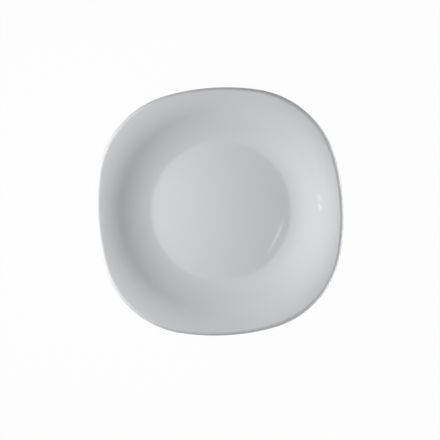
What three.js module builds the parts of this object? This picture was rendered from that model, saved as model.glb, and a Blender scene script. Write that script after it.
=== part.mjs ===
// A square deep plate, pressed in one piece from opal glass. Millimetres, +Z up.
// The origin is under the plate's centre, on the surface it stands on. X and Y run along its sides.
import * as THREE from 'three';

// Outline seen from above: four bowed sides that run into four round corners
const plateWidth = 230;
const sideRadius = 200;
const cornerRadius = 88;

// Half section on the eating side: a flat floor that lifts a little at its edge, a crease, a wall that steepens
// and a rim that flattens again
const wellRadius = 64.6; // outer edge of the floor, where the crease begins
const liftWidth = 5.6; // how far in from that edge the floor begins to lift
const creaseFillet = 18;
const rimWidth = 21.5; // from the steepest ring of the wall out to the middle of a side
const liftSlope = THREE.MathUtils.degToRad(2.5); // at the floor's edge
const creaseSlope = THREE.MathUtils.degToRad(12); // where the crease runs into the wall
const wallSlope = THREE.MathUtils.degToRad(44); // at the steepest ring
const rimSlope = THREE.MathUtils.degToRad(21.5); // at the lip, in the middle of a side
const glassThickness = 4;
const lipTopRadius = 3; // the lip's rounding on the eating side; its lower edge takes the rest of the thickness

// Foot ring, under the floor's edge
const footWidth = 5;
const footHeight = 2;
const footFlank = 1.2; // how far each flank leans out
const footEdge = 0.7; // bevel along the ring's two lower edges

// Facets
const aroundSteps = 72;
const liftSteps = 2;
const creaseSteps = 4;
const wallSteps = 7;
const rimSteps = 7;
const lipTopSteps = 6;
const lipUnderSteps = 3;

// Finish
const glassColour = 0xe6e9ec;
const glassRoughness = 0.12;

// Heights and radii that follow from the sizes above
const halfWidth = plateWidth / 2;
const lipUnderRadius = glassThickness - lipTopRadius;
const floorTop = footHeight + glassThickness;
const liftRadius = liftWidth / Math.sin(liftSlope);
const underCreaseFillet = creaseFillet + glassThickness;
const steepestRadius = halfWidth - rimWidth;
const footInnerRadius = wellRadius - footWidth;

// A point on a round stretch of the section, at the given slope. A negative radius makes the stretch bulge up.
function arcPoint(centre, radius, slope) {
  return new THREE.Vector2(centre.x + radius * Math.sin(slope), centre.y - radius * Math.cos(slope));
}

// The points of a round stretch from one slope to another, both ends included
function arcPoints(centre, radius, fromSlope, toSlope, steps) {
  const points = [];
  for (let step = 0; step <= steps; step++) {
    points.push(arcPoint(centre, radius, THREE.MathUtils.lerp(fromSlope, toSlope, step / steps)));
  }
  return points;
}

// The centre of a round stretch that passes through a point with the given slope
function arcCentre(point, radius, slope) {
  return new THREE.Vector2(point.x - radius * Math.sin(slope), point.y + radius * Math.cos(slope));
}

// The round stretches of the eating side run into each other without a kink
const liftCentre = new THREE.Vector2(wellRadius - liftWidth, floorTop + liftRadius);
const liftEnd = arcPoint(liftCentre, liftRadius, liftSlope);
const creaseCentre = arcCentre(liftEnd, creaseFillet, liftSlope);
const creaseEnd = arcPoint(creaseCentre, creaseFillet, creaseSlope);
const wallRadius = (steepestRadius - creaseEnd.x) / (Math.sin(wallSlope) - Math.sin(creaseSlope));
const wallCentre = arcCentre(creaseEnd, wallRadius, creaseSlope);
const wallEnd = arcPoint(wallCentre, wallRadius, wallSlope);
const rimRun = rimWidth - lipUnderRadius - lipTopRadius * Math.sin(rimSlope);
const rimRadius = rimRun / (Math.sin(wallSlope) - Math.sin(rimSlope));
const rimCentre = arcCentre(wallEnd, -rimRadius, wallSlope);

// The lip's two roundings have their centres on one arc, and this turn of it between them lets them touch smoothly
const lipCentreRadius = rimRadius - lipTopRadius;
const lipTurn = 2 * Math.asin((lipTopRadius - lipUnderRadius) / (2 * lipCentreRadius));

// The slope at which the crease's underside meets the foot's outer flank
const footSlope = Math.asin((wellRadius + footFlank - creaseCentre.x) / underCreaseFillet);

// How far the outline reaches from the centre in a direction: a side arc, or the corner arc that touches two sides
function outlineReach(angle) {
  const quarter = Math.PI / 2;
  const fromSide = Math.abs(angle - quarter * Math.round(angle / quarter));
  const sideCentre = halfWidth - sideRadius;
  const betweenCentres = sideRadius - cornerRadius;
  const cornerCentre = (sideCentre + Math.sqrt(2 * betweenCentres ** 2 - sideCentre ** 2)) / 2;
  const joinSlope = Math.atan2(cornerCentre, cornerCentre - sideCentre);
  const joinAngle = Math.atan2(sideRadius * Math.sin(joinSlope), sideCentre + sideRadius * Math.cos(joinSlope));
  const onSide = fromSide < joinAngle;
  const centre = new THREE.Vector2(onSide ? sideCentre : cornerCentre, onSide ? 0 : cornerCentre);
  const radius = onSide ? sideRadius : cornerRadius;
  const along = centre.x * Math.cos(fromSide) + centre.y * Math.sin(fromSide);
  return along + Math.sqrt(along ** 2 - centre.lengthSq() + radius ** 2);
}

// The foot ring's outline, from the outer flank's lower end to the inner flank's top
function footPoints() {
  return [
    new THREE.Vector2(wellRadius, footEdge),
    new THREE.Vector2(wellRadius - footEdge, 0),
    new THREE.Vector2(footInnerRadius + footEdge, 0),
    new THREE.Vector2(footInnerRadius, footEdge),
    new THREE.Vector2(footInnerRadius - footFlank, footHeight),
  ];
}

// The half section whose lip reaches a given radius, from the flat floor over the rim and back under to the foot.
// A lip that reaches further runs on along the same rim arc, so the corners stand a little higher and lie flatter.
function sectionPoints(reach) {
  const underSlope = Math.asin((rimCentre.x + lipUnderRadius - reach) / lipCentreRadius);
  const topSlope = underSlope + lipTurn;
  const edgeSlope = underSlope + lipTurn / 2 + Math.PI / 2;
  const lipTopCentre = arcPoint(rimCentre, -lipCentreRadius, topSlope);
  const lipUnderCentre = arcPoint(rimCentre, -lipCentreRadius, underSlope);
  return [
    ...arcPoints(liftCentre, liftRadius, 0, liftSlope, liftSteps),
    ...arcPoints(creaseCentre, creaseFillet, liftSlope, creaseSlope, creaseSteps).slice(1),
    ...arcPoints(wallCentre, wallRadius, creaseSlope, wallSlope, wallSteps).slice(1),
    ...arcPoints(rimCentre, -rimRadius, wallSlope, topSlope, rimSteps).slice(1),
    ...arcPoints(lipTopCentre, lipTopRadius, topSlope + Math.PI, edgeSlope, lipTopSteps).slice(1),
    ...arcPoints(lipUnderCentre, lipUnderRadius, edgeSlope, underSlope, lipUnderSteps).slice(1),
    ...arcPoints(rimCentre, glassThickness - rimRadius, underSlope, wallSlope, rimSteps).slice(1),
    ...arcPoints(wallCentre, wallRadius + glassThickness, wallSlope, creaseSlope, wallSteps).slice(1),
    ...arcPoints(creaseCentre, underCreaseFillet, creaseSlope, footSlope, creaseSteps).slice(1),
    ...footPoints(),
  ];
}

// The half sections stand around the axis like spokes and are joined into one closed skin,
// with the floor and the recess under it closed at the axis
function plateGeometry() {
  const points = [new THREE.Vector3(0, 0, floorTop), new THREE.Vector3(0, 0, footHeight)];
  const floorMiddle = 0;
  const recessMiddle = 1;
  const spokes = [];
  for (let step = 0; step < aroundSteps; step++) {
    const angle = (2 * Math.PI * step) / aroundSteps;
    const spoke = [];
    for (const { x: radius, y: height } of sectionPoints(outlineReach(angle))) {
      spoke.push(points.length);
      points.push(new THREE.Vector3(radius * Math.cos(angle), radius * Math.sin(angle), height));
    }
    spokes.push(spoke);
  }
  const triangles = [];
  spokes.forEach((spoke, step) => {
    const next = spokes[(step + 1) % aroundSteps];
    const last = spoke.length - 1;
    triangles.push(floorMiddle, spoke[0], next[0]);
    for (let station = 0; station < last; station++) {
      triangles.push(spoke[station], spoke[station + 1], next[station + 1]);
      triangles.push(spoke[station], next[station + 1], next[station]);
    }
    triangles.push(spoke[last], recessMiddle, next[last]);
  });
  const geometry = new THREE.BufferGeometry().setFromPoints(points);
  geometry.setIndex(triangles);
  geometry.computeVertexNormals();
  return geometry;
}

const opalGlass = new THREE.MeshStandardMaterial({
  color: glassColour,
  roughness: glassRoughness,
  metalness: 0,
});
const plate = new THREE.Mesh(plateGeometry(), opalGlass);
plate.name = 'plate';

const squareDeepPlate = new THREE.Group();
squareDeepPlate.add(plate);

export default squareDeepPlate;
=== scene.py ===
# A square deep plate of pressed white opal glass on a pale table, in soft light from the left. Metres, +Z up.
from math import asin, atan2, cos, pi, radians, sin, sqrt, tan

import bpy
from mathutils import Matrix, Vector


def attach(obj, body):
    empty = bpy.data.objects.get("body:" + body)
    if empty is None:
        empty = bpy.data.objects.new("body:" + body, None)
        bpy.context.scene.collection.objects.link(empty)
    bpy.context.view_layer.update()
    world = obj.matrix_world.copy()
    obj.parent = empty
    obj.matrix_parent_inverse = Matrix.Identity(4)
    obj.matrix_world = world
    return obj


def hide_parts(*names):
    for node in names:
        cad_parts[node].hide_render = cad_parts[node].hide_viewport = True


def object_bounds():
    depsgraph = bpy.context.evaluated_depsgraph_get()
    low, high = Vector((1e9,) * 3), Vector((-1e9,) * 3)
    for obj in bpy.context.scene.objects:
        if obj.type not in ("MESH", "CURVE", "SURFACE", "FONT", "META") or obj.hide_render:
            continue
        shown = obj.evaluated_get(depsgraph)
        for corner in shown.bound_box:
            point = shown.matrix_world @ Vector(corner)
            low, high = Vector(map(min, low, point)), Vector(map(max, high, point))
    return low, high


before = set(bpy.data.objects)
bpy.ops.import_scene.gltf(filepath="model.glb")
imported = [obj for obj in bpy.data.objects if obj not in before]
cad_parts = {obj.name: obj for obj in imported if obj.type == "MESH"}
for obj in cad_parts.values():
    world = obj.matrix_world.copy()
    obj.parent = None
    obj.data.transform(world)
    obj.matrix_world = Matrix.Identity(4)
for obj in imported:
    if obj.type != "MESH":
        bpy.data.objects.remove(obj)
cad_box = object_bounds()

MM = 0.001

# Outline seen from above: four bowed sides that run into four round corners
PLATE_WIDTH = 230 * MM
SIDE_RADIUS = 200 * MM
CORNER_RADIUS = 88 * MM

# Half section on the eating side: flat floor, lifted edge, crease, steepening wall and flattening rim
WELL_RADIUS = 64.6 * MM
LIFT_WIDTH = 5.6 * MM
CREASE_FILLET = 18 * MM
RIM_WIDTH = 21.5 * MM
LIFT_SLOPE = radians(2.5)
CREASE_SLOPE = radians(12)
WALL_SLOPE = radians(44)
RIM_SLOPE = radians(21.5)
GLASS_THICKNESS = 4 * MM
LIP_TOP_RADIUS = 3 * MM

# Foot ring, under the floor's edge, and the flat recess inside it
FOOT_WIDTH = 5 * MM
FOOT_HEIGHT = 2 * MM
FOOT_FLANK = 1.2 * MM
FOOT_EDGE = 0.7 * MM
RECESS_FILLET = 1.5 * MM
RECESS_RING = 0.1  # one more ring at this share of the way to the middle keeps the recess flat in the shading

# Rings along the section and spokes around it
LIFT_STEPS = 12
CREASE_STEPS = 14
WALL_STEPS = 36
RIM_STEPS = 30
LIP_TOP_STEPS = 16
LIP_UNDER_STEPS = 8
FILLET_STEPS = 5
AROUND_STEPS = 288
MERGE_DISTANCE = 0.001 * MM

# Opal glass: its clouds, the mould's ripple, and its roughness where it is polished and on the worn foot
CLOUD_SIZE = 40 * MM
CLOUD_TINTS = ("#e5e6e7", "#e8eaeb")
RIPPLE_SIZE = 14 * MM
RIPPLE_HEIGHT = 0.002 * MM
POLISHED_ROUGHNESS = (0.03, 0.05)
WORN_ROUGHNESS = 0.45
WORN_BELOW = 0.1 * MM
POLISHED_ABOVE = 0.6 * MM
GLASS_IOR = 1.5

# The photograph: 440 pixels square, seen from almost straight above, with the plate turned a little in it
PHOTO_PIXELS = 440
PIXELS_PER_METRE = 1083.0
RIM_CENTRE_PIXEL = (218.8, 212.2)
PICTURE_TURN = radians(3.8)
CAMERA_DISTANCE = 1.2
CAMERA_LEAN_RIGHT = radians(3.8)
CAMERA_LEAN_UP = radians(2.6)
SENSOR_WIDTH = 36.0

# Directions on the table that run to the right and to the top of the picture
PICTURE_RIGHT = Vector((cos(PICTURE_TURN), -sin(PICTURE_TURN), 0))
PICTURE_UP = Vector((sin(PICTURE_TURN), cos(PICTURE_TURN), 0))
TABLE_UP = Vector((0, 0, 1))

# Lamps: places along the picture's axes from the plate's centre on the table, and powers in watts.
# The broad soft lamp that leans over from the left
KEY_RIGHT = -0.157
KEY_OUT = 0.156
KEY_AIM_RIGHT = 0.017
KEY_WIDTH = 0.62
KEY_HEIGHT = 0.83
KEY_POWER = 2.31
KEY_SPREAD = radians(136)

# The low strip at the right
EDGE_RIGHT = 0.4
EDGE_UP = -0.05
EDGE_OUT = 0.028
EDGE_WIDTH = 0.5
EDGE_HEIGHT = 0.05
EDGE_POWER = 1.1

# Two small panes at the left
PANE_RIGHT = -0.5
PANE_UPS = (-0.046, -0.086)
PANE_OUT = 0.07
PANE_WIDTH = 0.024
PANE_HEIGHT = 0.027
PANE_POWERS = (0.0086, 0.0068)

# The slit overhead, turned a little in the picture
SLIT_RIGHT = 0.0474
SLIT_UP = -0.0496
SLIT_OUT = 0.5
SLIT_WIDTH = 0.013
SLIT_LENGTH = 0.06
SLIT_TURN = radians(23.3)
SLIT_POWER = 0.008

# The room's fill, and the table, of which the camera and reflections see this share as plain white
ROOM_COLOUR = "#f1f5ff"
ROOM_LIGHT = 0.115
WHITE = "#ffffff"
TABLE_SIZE = 6.0
TABLE_COLOUR = "#cccccc"
TABLE_WHITE = 0.98

# Heights, radii and centres that follow from the sizes above
HALF_WIDTH = PLATE_WIDTH / 2
LIP_UNDER_RADIUS = GLASS_THICKNESS - LIP_TOP_RADIUS
FLOOR_TOP = FOOT_HEIGHT + GLASS_THICKNESS
HALF_DEPTH = cad_box[1].z / 2
STEEPEST_RADIUS = HALF_WIDTH - RIM_WIDTH
SIDE_CENTRE = HALF_WIDTH - SIDE_RADIUS
CORNER_CENTRE = (SIDE_CENTRE + sqrt(2 * (SIDE_RADIUS - CORNER_RADIUS) ** 2 - SIDE_CENTRE ** 2)) / 2

# The direction in which a side arc ends and a corner arc begins, as a tangent seen from the plate's centre
JOIN_SLOPE = atan2(CORNER_CENTRE, CORNER_CENTRE - SIDE_CENTRE)
JOIN_TANGENT = SIDE_RADIUS * sin(JOIN_SLOPE) / (SIDE_CENTRE + SIDE_RADIUS * cos(JOIN_SLOPE))


def arc_point(centre, radius, slope):
    """A point on a round stretch of the section, at the given slope. A negative radius bulges up."""
    return Vector((centre.x + radius * sin(slope), centre.y - radius * cos(slope)))


def arc_centre(point, radius, slope):
    """The centre of a round stretch that passes through a point with the given slope."""
    return Vector((point.x - radius * sin(slope), point.y + radius * cos(slope)))


def arc_points(centre, radius, from_slope, to_slope, steps):
    """The points of a round stretch, without its first, which ends the stretch before it."""
    turn = (to_slope - from_slope) / steps
    return [arc_point(centre, radius, from_slope + turn * step) for step in range(1, steps + 1)]


def rounded_corner(before, corner, after, radius):
    """The points of a fillet where two straight stretches meet."""
    back = (before - corner).normalized()
    ahead = (after - corner).normalized()
    half_angle = back.angle(ahead) / 2
    start = corner + back * (radius / tan(half_angle))
    middle = corner + (back + ahead).normalized() * (radius / sin(half_angle))
    sweep = back.angle_signed(-ahead)
    spoke = start - middle
    turns = [sweep * step / FILLET_STEPS for step in range(FILLET_STEPS + 1)]
    return [middle + Matrix.Rotation(-turn, 2) @ spoke for turn in turns]


# The round stretches of the eating side run into each other without a kink
LIFT_RADIUS = LIFT_WIDTH / sin(LIFT_SLOPE)
LIFT_CENTRE = Vector((WELL_RADIUS - LIFT_WIDTH, FLOOR_TOP + LIFT_RADIUS))
CREASE_CENTRE = arc_centre(arc_point(LIFT_CENTRE, LIFT_RADIUS, LIFT_SLOPE), CREASE_FILLET, LIFT_SLOPE)
CREASE_END = arc_point(CREASE_CENTRE, CREASE_FILLET, CREASE_SLOPE)
WALL_RADIUS = (STEEPEST_RADIUS - CREASE_END.x) / (sin(WALL_SLOPE) - sin(CREASE_SLOPE))
WALL_CENTRE = arc_centre(CREASE_END, WALL_RADIUS, CREASE_SLOPE)
WALL_END = arc_point(WALL_CENTRE, WALL_RADIUS, WALL_SLOPE)
RIM_RUN = RIM_WIDTH - LIP_UNDER_RADIUS - LIP_TOP_RADIUS * sin(RIM_SLOPE)
RIM_RADIUS = RIM_RUN / (sin(WALL_SLOPE) - sin(RIM_SLOPE))
RIM_CENTRE = arc_centre(WALL_END, -RIM_RADIUS, WALL_SLOPE)

# The lip's two roundings have their centres on one arc, and with this turn between them they touch smoothly
LIP_CENTRE_RADIUS = RIM_RADIUS - LIP_TOP_RADIUS
LIP_TURN = 2 * asin((LIP_TOP_RADIUS - LIP_UNDER_RADIUS) / (2 * LIP_CENTRE_RADIUS))
LIP_SLOPE = RIM_SLOPE + LIP_TURN


def linear(hex_colour):
    """An sRGB hex colour as linear RGBA."""
    shares = [int(hex_colour[place:place + 2], 16) / 255 for place in (1, 3, 5)]
    return [s / 12.92 if s <= 0.04045 else ((s + 0.055) / 1.055) ** 2.4 for s in shares] + [1.0]


def add_node(tree, kind, inputs, **settings):
    """Adds a node, sets its properties, and sets or links its inputs.
    A node that is given as an input links its first output."""
    node = tree.nodes.new(kind)
    for name, value in settings.items():
        setattr(node, name, value)
    for key, value in inputs.items():
        if isinstance(value, bpy.types.Node):
            value = value.outputs[0]
        if isinstance(value, bpy.types.NodeSocket):
            tree.links.new(value, node.inputs[key])
        else:
            node.inputs[key].default_value = value
    return node


def bare_tree(owner):
    """The emptied node tree of a material, a lamp or the world."""
    owner.use_nodes = True
    owner.node_tree.nodes.clear()
    return owner.node_tree


def new_object(name, data):
    """An object at the origin, in the scene's own collection."""
    thing = bpy.data.objects.new(name, data)
    bpy.context.scene.collection.objects.link(thing)
    return thing


def foot_points():
    """The foot ring and the flat recess inside it, with soft edges."""
    under_fillet = CREASE_FILLET + GLASS_THICKNESS
    foot_slope = asin((WELL_RADIUS + FOOT_FLANK - CREASE_CENTRE.x) / under_fillet)
    foot_inner = WELL_RADIUS - FOOT_WIDTH
    crease_side = arc_point(CREASE_CENTRE, under_fillet, CREASE_SLOPE)
    flank_top = arc_point(CREASE_CENTRE, under_fillet, foot_slope)
    outer_edge = Vector((WELL_RADIUS - FOOT_EDGE / 2, 0))
    inner_edge = Vector((foot_inner + FOOT_EDGE / 2, 0))
    recess_edge = Vector((foot_inner - FOOT_FLANK, FOOT_HEIGHT))
    recess_middle = Vector((0, FOOT_HEIGHT))
    return [
        *rounded_corner(crease_side, flank_top, outer_edge, FOOT_EDGE),
        *rounded_corner(flank_top, outer_edge, inner_edge, FOOT_EDGE),
        *rounded_corner(outer_edge, inner_edge, recess_edge, FOOT_EDGE),
        *rounded_corner(inner_edge, recess_edge, recess_middle, RECESS_FILLET),
        recess_edge.lerp(recess_middle, RECESS_RING),
        recess_middle,
    ]


def section_points():
    """The half section in the middle of a side, from the floor's middle over the lip and back under it."""
    floor_middle = Vector((0, FLOOR_TOP))
    floor_edge = Vector((LIFT_CENTRE.x, FLOOR_TOP))
    edge_slope = RIM_SLOPE + LIP_TURN / 2 + pi / 2
    lip_top = arc_point(RIM_CENTRE, -LIP_CENTRE_RADIUS, LIP_SLOPE)
    lip_under = arc_point(RIM_CENTRE, -LIP_CENTRE_RADIUS, RIM_SLOPE)
    under_rim = GLASS_THICKNESS - RIM_RADIUS
    under_wall = WALL_RADIUS + GLASS_THICKNESS
    return [
        floor_middle,
        floor_middle.lerp(floor_edge, 0.5),
        floor_edge,
        *arc_points(LIFT_CENTRE, LIFT_RADIUS, 0, LIFT_SLOPE, LIFT_STEPS),
        *arc_points(CREASE_CENTRE, CREASE_FILLET, LIFT_SLOPE, CREASE_SLOPE, CREASE_STEPS),
        *arc_points(WALL_CENTRE, WALL_RADIUS, CREASE_SLOPE, WALL_SLOPE, WALL_STEPS),
        *arc_points(RIM_CENTRE, -RIM_RADIUS, WALL_SLOPE, LIP_SLOPE, RIM_STEPS),
        *arc_points(lip_top, LIP_TOP_RADIUS, LIP_SLOPE + pi, edge_slope, LIP_TOP_STEPS),
        *arc_points(lip_under, LIP_UNDER_RADIUS, edge_slope, RIM_SLOPE, LIP_UNDER_STEPS),
        *arc_points(RIM_CENTRE, under_rim, RIM_SLOPE, WALL_SLOPE, RIM_STEPS),
        *arc_points(WALL_CENTRE, under_wall, WALL_SLOPE, CREASE_SLOPE, WALL_STEPS),
        *foot_points(),
    ]


def outline_reach(tree, sizes, across, along):
    """How far the outline reaches in a direction: a side arc, or the corner arc that touches two sides."""
    far = add_node(tree, "ShaderNodeMath", {0: across}, operation="ABSOLUTE")
    near = add_node(tree, "ShaderNodeMath", {0: along}, operation="ABSOLUTE")
    towards_side = add_node(tree, "ShaderNodeMath", {0: far, 1: near}, operation="MAXIMUM")
    off_side = add_node(tree, "ShaderNodeMath", {0: far, 1: near}, operation="MINIMUM")
    join = add_node(tree, "ShaderNodeMath", {0: towards_side, 1: sizes["Join tangent"]}, operation="MULTIPLY")
    on_side = add_node(tree, "ShaderNodeMath", {0: off_side, 1: join}, operation="LESS_THAN")
    both = add_node(tree, "ShaderNodeMath", {0: towards_side, 1: off_side}, operation="ADD")
    to_corner = add_node(tree, "ShaderNodeMath", {0: both, 1: sizes["Corner centre"]}, operation="MULTIPLY")
    side_parts = {0: towards_side, 1: sizes["Side centre"]}
    to_side = add_node(tree, "ShaderNodeMath", side_parts, operation="MULTIPLY")
    centre = add_node(tree, "GeometryNodeSwitch", {0: on_side, 1: to_corner, 2: to_side}, input_type="FLOAT")
    powers = {0: on_side, 1: sizes["Corner power"], 2: sizes["Side power"]}
    power = add_node(tree, "GeometryNodeSwitch", powers, input_type="FLOAT")
    square = add_node(tree, "ShaderNodeMath", {0: centre, 1: centre, 2: power}, operation="MULTIPLY_ADD")
    beyond = add_node(tree, "ShaderNodeMath", {0: square}, operation="SQRT")
    return add_node(tree, "ShaderNodeMath", {0: centre, 1: beyond}, operation="ADD")


def rim_roll(tree, sizes, reach, radius, height):
    """The angle that a point of the rim rolls out by, so that the lip meets the outline."""
    lip_run = add_node(tree, "ShaderNodeMath", {0: sizes["Lip origin"], 1: reach}, operation="SUBTRACT")
    lip_share = add_node(tree, "ShaderNodeMath", {0: lip_run, 1: sizes["Lip distance"]}, operation="DIVIDE")
    lip_slope = add_node(tree, "ShaderNodeMath", {0: lip_share}, operation="ARCSINE")
    roll = add_node(tree, "ShaderNodeMath", {0: sizes["Rim slope"], 1: lip_slope}, operation="SUBTRACT")
    inward_parts = {0: sizes["Rim centre radius"], 1: radius}
    inward = add_node(tree, "ShaderNodeMath", inward_parts, operation="SUBTRACT")
    upward_parts = {0: height, 1: sizes["Rim centre height"]}
    upward = add_node(tree, "ShaderNodeMath", upward_parts, operation="SUBTRACT")
    slope = add_node(tree, "ShaderNodeMath", {0: inward, 1: upward}, operation="ARCTAN2")
    slopes = {"Value": slope, "From Min": sizes["Wall slope"], "From Max": sizes["Lip slope"]}
    share = add_node(tree, "ShaderNodeMapRange", slopes)
    return add_node(tree, "ShaderNodeMath", {0: roll, 1: share}, operation="MULTIPLY")


def plate_tree(sizes, glass):
    """A tree that spins the section and rolls its rim out to the outline.
    Returns it with the identifiers of its inputs."""
    tree = bpy.data.node_groups.new("pressed_plate", "GeometryNodeTree")
    tree.interface.new_socket("Section", in_out="INPUT", socket_type="NodeSocketGeometry")
    identifiers = {}
    for name, size in sizes.items():
        kind = "NodeSocketInt" if isinstance(size, int) else "NodeSocketFloat"
        identifiers[name] = tree.interface.new_socket(name, in_out="INPUT", socket_type=kind).identifier
    tree.interface.new_socket("Plate", in_out="OUTPUT", socket_type="NodeSocketGeometry")
    given = add_node(tree, "NodeGroupInput", {}).outputs

    # A grid with one column for each spoke and one row for each point of the section
    stations = add_node(tree, "GeometryNodeAttributeDomainSize", {0: given["Section"]})
    spokes = add_node(tree, "ShaderNodeMath", {0: given["Spokes"], 1: 1.0}, operation="ADD")
    grid = add_node(tree, "GeometryNodeMeshGrid", {"Vertices X": spokes, "Vertices Y": stations})
    index = add_node(tree, "GeometryNodeInputIndex", {})
    station = add_node(tree, "ShaderNodeMath", {0: index, 1: stations}, operation="MODULO")
    place = add_node(tree, "GeometryNodeInputPosition", {})
    samples = {"Geometry": given["Section"], "Value": place, "Index": station}
    point = add_node(tree, "GeometryNodeSampleIndex", samples, data_type="FLOAT_VECTOR")
    radius, _, height = add_node(tree, "ShaderNodeSeparateXYZ", {0: point}).outputs

    # Each point of the section goes to its spoke's direction, and then rolls about the rim's centre there
    turn_share = add_node(tree, "ShaderNodeSeparateXYZ", {0: grid.outputs["UV Map"]})
    angle = add_node(tree, "ShaderNodeMath", {0: turn_share, 1: 2 * pi}, operation="MULTIPLY")
    across = add_node(tree, "ShaderNodeMath", {0: angle}, operation="COSINE")
    along = add_node(tree, "ShaderNodeMath", {0: angle}, operation="SINE")
    back = add_node(tree, "ShaderNodeMath", {0: along, 1: -1.0}, operation="MULTIPLY")
    outwards = add_node(tree, "ShaderNodeCombineXYZ", {0: across, 1: along})
    sideways = add_node(tree, "ShaderNodeCombineXYZ", {0: back, 1: across})
    rim_height = add_node(tree, "ShaderNodeCombineXYZ", {2: given["Rim centre height"]})
    point_height = add_node(tree, "ShaderNodeCombineXYZ", {2: height})
    rim_place = {0: outwards, 1: given["Rim centre radius"], 2: rim_height}
    pivot = add_node(tree, "ShaderNodeVectorMath", rim_place, operation="MULTIPLY_ADD")
    point_place = {0: outwards, 1: radius, 2: point_height}
    spun = add_node(tree, "ShaderNodeVectorMath", point_place, operation="MULTIPLY_ADD")
    roll = rim_roll(tree, given, outline_reach(tree, given, across, along), radius, height)
    turn = {"Vector": spun, "Center": pivot, "Axis": sideways, "Angle": roll}
    rolled = add_node(tree, "ShaderNodeVectorRotate", turn)

    # The first and last spokes, and the poles, are merged into one closed skin
    skin = add_node(tree, "GeometryNodeSetPosition", {"Geometry": grid, "Position": rolled})
    closed = add_node(tree, "GeometryNodeMergeByDistance", {"Geometry": skin, "Distance": MERGE_DISTANCE})
    facing_out = add_node(tree, "GeometryNodeFlipFaces", {"Mesh": closed})
    smooth = add_node(tree, "GeometryNodeSetShadeSmooth", {"Geometry": facing_out})
    plain = add_node(tree, "GeometryNodeRealizeInstances", {"Geometry": smooth})
    finished = add_node(tree, "GeometryNodeSetMaterial", {"Geometry": plain, "Material": glass})
    add_node(tree, "NodeGroupOutput", {0: finished})
    return tree, identifiers


def pressed_plate(glass):
    """The plate as one plain mesh."""
    points = section_points()
    outline = bpy.data.meshes.new("plate_section")
    outline.from_pydata([(x, 0, z) for x, z in points], [(i, i + 1) for i in range(len(points) - 1)], [])
    maker = new_object("plate_section", outline)
    sizes = {
        "Spokes": AROUND_STEPS,
        "Side centre": SIDE_CENTRE,
        "Side power": SIDE_RADIUS ** 2 - SIDE_CENTRE ** 2,
        "Corner centre": CORNER_CENTRE,
        "Corner power": CORNER_RADIUS ** 2 - 2 * CORNER_CENTRE ** 2,
        "Join tangent": JOIN_TANGENT,
        "Rim centre radius": RIM_CENTRE.x,
        "Rim centre height": RIM_CENTRE.y,
        "Lip origin": RIM_CENTRE.x + LIP_UNDER_RADIUS,
        "Lip distance": LIP_CENTRE_RADIUS,
        "Wall slope": WALL_SLOPE,
        "Lip slope": LIP_SLOPE,
        "Rim slope": RIM_SLOPE,
    }
    tree, identifiers = plate_tree(sizes, glass)
    modifier = maker.modifiers.new("pressing", "NODES")
    modifier.node_group = tree
    for name, size in sizes.items():
        modifier[identifiers[name]] = size
    evaluated = maker.evaluated_get(bpy.context.evaluated_depsgraph_get())
    mesh = bpy.data.meshes.new_from_object(evaluated)
    mesh.name = "opal_plate"
    bpy.data.objects.remove(maker)
    return new_object("opal_plate", mesh)


def opal_glass():
    """Pressed and fire-polished white opal glass: dense neutral white, an even gloss, faint clouds in it,
    a low ripple from the mould that bends the reflections, and a foot ring worn matt where it stands."""
    material = bpy.data.materials.new("pressed_opal_glass")
    tree = bare_tree(material)
    place = add_node(tree, "ShaderNodeTexCoord", {}).outputs["Object"]
    clouds = add_node(tree, "ShaderNodeTexNoise", {"Vector": place, "Scale": 1 / CLOUD_SIZE, "Detail": 2.0})
    tints = {0: clouds, 6: linear(CLOUD_TINTS[0]), 7: linear(CLOUD_TINTS[1])}
    tint = add_node(tree, "ShaderNodeMix", tints, data_type="RGBA")
    ripple = add_node(tree, "ShaderNodeTexNoise", {"Vector": place, "Scale": 1 / RIPPLE_SIZE, "Detail": 1.0})
    bump = add_node(tree, "ShaderNodeBump", {"Height": ripple, "Strength": 1.0, "Distance": RIPPLE_HEIGHT})
    polished = {"Value": clouds, "To Min": POLISHED_ROUGHNESS[0], "To Max": POLISHED_ROUGHNESS[1]}
    gloss = add_node(tree, "ShaderNodeMapRange", polished)
    height = add_node(tree, "ShaderNodeSeparateXYZ", {0: place}).outputs["Z"]
    worn = {"Value": height, "From Min": WORN_BELOW, "From Max": POLISHED_ABOVE}
    worn.update({"To Min": WORN_ROUGHNESS, "To Max": gloss})
    roughness = add_node(tree, "ShaderNodeMapRange", worn)
    surface = {"Base Color": tint.outputs[2], "Roughness": roughness, "Normal": bump, "IOR": GLASS_IOR}
    shader = add_node(tree, "ShaderNodeBsdfPrincipled", surface)
    add_node(tree, "ShaderNodeOutputMaterial", {"Surface": shader})
    return material


def direct_rays(tree):
    """One for rays from the camera, from a reflection or through glass, and nought for all others."""
    path = add_node(tree, "ShaderNodeLightPath", {}).outputs
    seen_by = {0: path["Is Camera Ray"], 1: path["Is Glossy Ray"]}
    camera_or_gloss = add_node(tree, "ShaderNodeMath", seen_by, operation="MAXIMUM")
    rays = {0: camera_or_gloss, 1: path["Is Transmission Ray"]}
    return add_node(tree, "ShaderNodeMath", rays, operation="MAXIMUM")


def pale_table():
    """A pale matt table. The camera and reflections see it almost white, with the plate's shadow on it."""
    material = bpy.data.materials.new("pale_table")
    tree = bare_tree(material)
    matt = add_node(tree, "ShaderNodeBsdfDiffuse", {"Color": linear(TABLE_COLOUR)})
    white = add_node(tree, "ShaderNodeEmission", {"Color": linear(WHITE), "Strength": 1.0})
    seen = add_node(tree, "ShaderNodeMixShader", {0: TABLE_WHITE, 1: matt, 2: white})
    surface = add_node(tree, "ShaderNodeMixShader", {0: direct_rays(tree), 1: matt, 2: seen})
    add_node(tree, "ShaderNodeOutputMaterial", {"Surface": surface})
    return material


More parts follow.
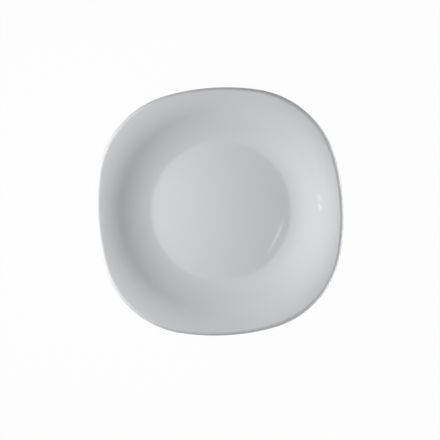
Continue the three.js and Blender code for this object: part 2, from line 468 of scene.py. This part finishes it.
def add_table():
    """A flat table top that the plate stands on."""
    half = TABLE_SIZE / 2
    corners = [(-half, -half, 0), (half, -half, 0), (half, half, 0), (-half, half, 0)]
    mesh = bpy.data.meshes.new("table_top")
    mesh.from_pydata(corners, [], [(0, 1, 2, 3)])
    mesh.materials.append(pale_table())
    table = new_object("table_top", mesh)


def set_world():
    """A white room for the camera and for reflections, which lights the plate with a weak cool fill."""
    world = bpy.data.worlds.new("white_room")
    bpy.context.scene.world = world
    tree = bare_tree(world)
    fill = add_node(tree, "ShaderNodeBackground", {"Color": linear(ROOM_COLOUR), "Strength": ROOM_LIGHT})
    white = add_node(tree, "ShaderNodeBackground", {"Color": linear(WHITE), "Strength": 1.0})
    surface = add_node(tree, "ShaderNodeMixShader", {0: direct_rays(tree), 1: fill, 2: white})
    add_node(tree, "ShaderNodeOutputWorld", {"Surface": surface})


def in_picture(right, up, out):
    """A place given along the picture's axes, from the plate's centre on the table."""
    return PICTURE_RIGHT * right + PICTURE_UP * up + TABLE_UP * out


def facing(place, aim):
    """The stance of a lamp at one place that shines at another."""
    back = (place - aim).normalized()
    return Matrix.Translation(place) @ back.to_track_quat("Z", "Y").to_matrix().to_4x4()


def add_lamp(name, stance, width, height, power):
    """A white rectangular lamp, which the camera doesn't see."""
    light = bpy.data.lights.new(name, "AREA")
    light.shape = "RECTANGLE"
    light.size = width
    light.size_y = height
    light.energy = power
    lamp = new_object(name, light)
    lamp.matrix_world = stance
    lamp.visible_camera = False
    return lamp


def soften_edges(lamp):
    """Lets a lamp fade out towards its edges, as a diffuser cloth does."""
    tree = bare_tree(lamp.data)
    across = add_node(tree, "ShaderNodeNewGeometry", {}).outputs["Parametric"]
    middle = (0.5, 0.5, 0.0)
    off_middle = add_node(tree, "ShaderNodeVectorMath", {0: across, 1: middle}, operation="DISTANCE")
    fade = {"Value": off_middle.outputs["Value"], "From Min": 0.5, "From Max": 0.0}
    glow = add_node(tree, "ShaderNodeMapRange", fade, interpolation_type="SMOOTHSTEP")
    emission = add_node(tree, "ShaderNodeEmission", {"Strength": glow})
    add_node(tree, "ShaderNodeOutputLight", {"Surface": emission})


def add_soft_lamps():
    """A broad soft lamp that leans over from the left, and a low strip that lights the lip from the right."""
    key_aim = in_picture(KEY_AIM_RIGHT, 0, HALF_DEPTH)
    key = facing(in_picture(KEY_RIGHT, 0, KEY_OUT), key_aim)
    soft_key = add_lamp("soft_key", key, KEY_WIDTH, KEY_HEIGHT, KEY_POWER)
    soft_key.data.spread = KEY_SPREAD
    soften_edges(soft_key)
    edge = facing(in_picture(EDGE_RIGHT, EDGE_UP, EDGE_OUT), in_picture(0, 0, EDGE_OUT))
    add_lamp("edge_strip", edge, EDGE_WIDTH, EDGE_HEIGHT, EDGE_POWER)


def add_glints():
    """Two small panes that glint in the right wall, and a slit that glints at the edge of the floor."""
    wall = in_picture(STEEPEST_RADIUS, 0, HALF_DEPTH)
    for up, power in zip(PANE_UPS, PANE_POWERS):
        pane = facing(in_picture(PANE_RIGHT, up, PANE_OUT), wall)
        add_lamp("pane", pane, PANE_WIDTH, PANE_HEIGHT, power)
    slit_place = Matrix.Translation(in_picture(SLIT_RIGHT, SLIT_UP, SLIT_OUT))
    slit = slit_place @ Matrix.Rotation(-PICTURE_TURN - SLIT_TURN, 4, "Z")
    add_lamp("slit", slit, SLIT_WIDTH, SLIT_LENGTH, SLIT_POWER)


def add_camera():
    """The photograph's view: almost straight down, from a little to the right."""
    camera = bpy.data.cameras.new("photo_camera")
    camera.sensor_width = SENSOR_WIDTH
    camera.lens = SENSOR_WIDTH * CAMERA_DISTANCE * PIXELS_PER_METRE / PHOTO_PIXELS
    viewer = new_object("photo_camera", camera)
    back = in_picture(tan(CAMERA_LEAN_RIGHT), tan(CAMERA_LEAN_UP), 1).normalized()
    right = PICTURE_UP.cross(back).normalized()
    up = back.cross(right)
    off_right = (RIM_CENTRE_PIXEL[0] - PHOTO_PIXELS / 2) / PIXELS_PER_METRE
    off_up = (PHOTO_PIXELS / 2 - RIM_CENTRE_PIXEL[1]) / PIXELS_PER_METRE
    rim_centre = Vector((0, 0, cad_box[1].z))
    aim = rim_centre - right * off_right - up * off_up
    turn = Matrix((right, up, back)).transposed().to_4x4()
    viewer.matrix_world = Matrix.Translation(aim + back * CAMERA_DISTANCE) @ turn
    bpy.context.scene.camera = viewer


plate = pressed_plate(opal_glass())
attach(plate, "root")
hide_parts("plate")

add_table()
set_world()
add_soft_lamps()
add_glints()
add_camera()
bpy.context.scene.view_settings.view_transform = "Standard"
